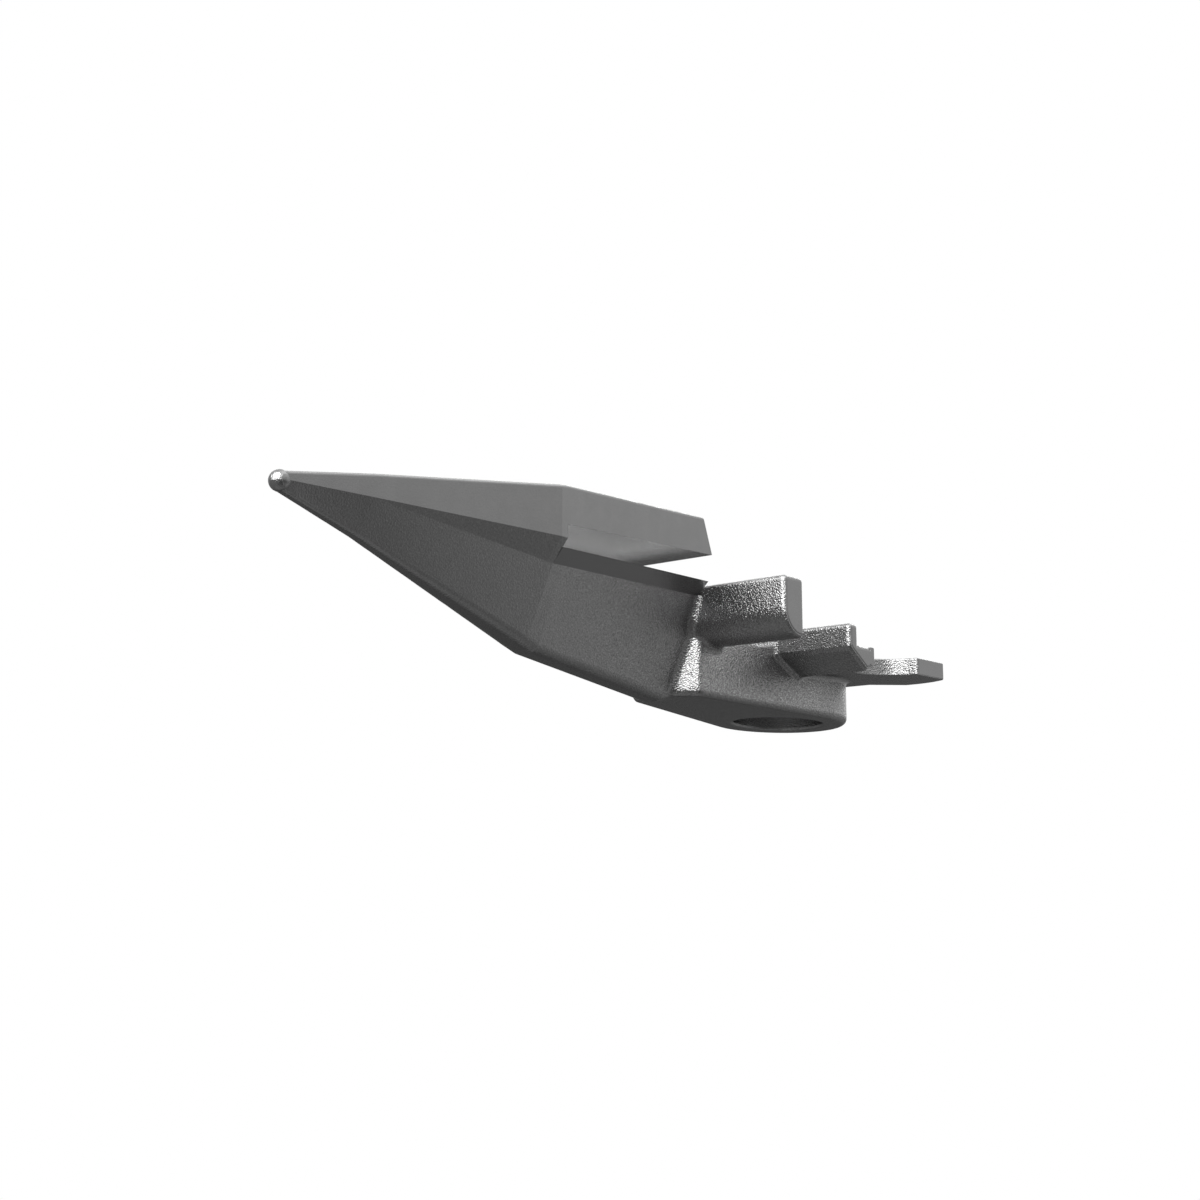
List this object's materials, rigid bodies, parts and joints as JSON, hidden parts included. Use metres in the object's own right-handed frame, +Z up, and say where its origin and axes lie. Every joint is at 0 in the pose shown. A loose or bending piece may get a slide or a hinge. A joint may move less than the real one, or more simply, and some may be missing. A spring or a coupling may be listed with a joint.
{
  "type": "sickle bar knife guard",
  "caption": "Pointed mower knife guard with a hold-down lip over a knife slot, bevelled ledger plate, cross bar, notched seat plate and a bolt with nut and washers for the cutter bar.",
  "frame": {"origin": "where the guard bolt's axis meets the seat, the flat top that the cutter bar lies on", "axes": "+X along the cutter bar and the knife's stroke, +Y rearwards with the finger's point towards -Y, +Z up"},
  "size_m": [0.0762, 0.2074, 0.047],
  "materials": {
    "forged_steel": "satin, fine grain of the forging skin",
    "ground_steel": "ground",
    "rivet_steel": "filed flush",
    "fastener_steel": "dull zinc",
    "spring_steel": "oil-blackened"
  },
  "bodies": {
    "guard": {"guard_body": "forged_steel", "ledger_plate": "ground_steel", "ledger_rivets": "rivet_steel", "guard_bolt": "fastener_steel"},
    "washers": {"flat_washer": "fastener_steel", "spring_washer": "spring_steel"},
    "nut": {"guard_nut": "fastener_steel"}
  },
  "joints": [
    {"name": "washer_lift", "type": "slide", "parent": "guard", "child": "washers", "axis": [0, 0, 1], "range_m": [0, 0.00874]},
    {"name": "nut_turn", "type": "hinge", "parent": "washers", "child": "nut", "pos_m": [0, 0, 0.0082], "axis": [0, 0, 1], "range_deg": [0, 1980]}
  ],
  "couplings": [
    {"joint": "washer_lift", "follows": "nut_turn", "m_per_rad": 0.00025266}
  ]
}
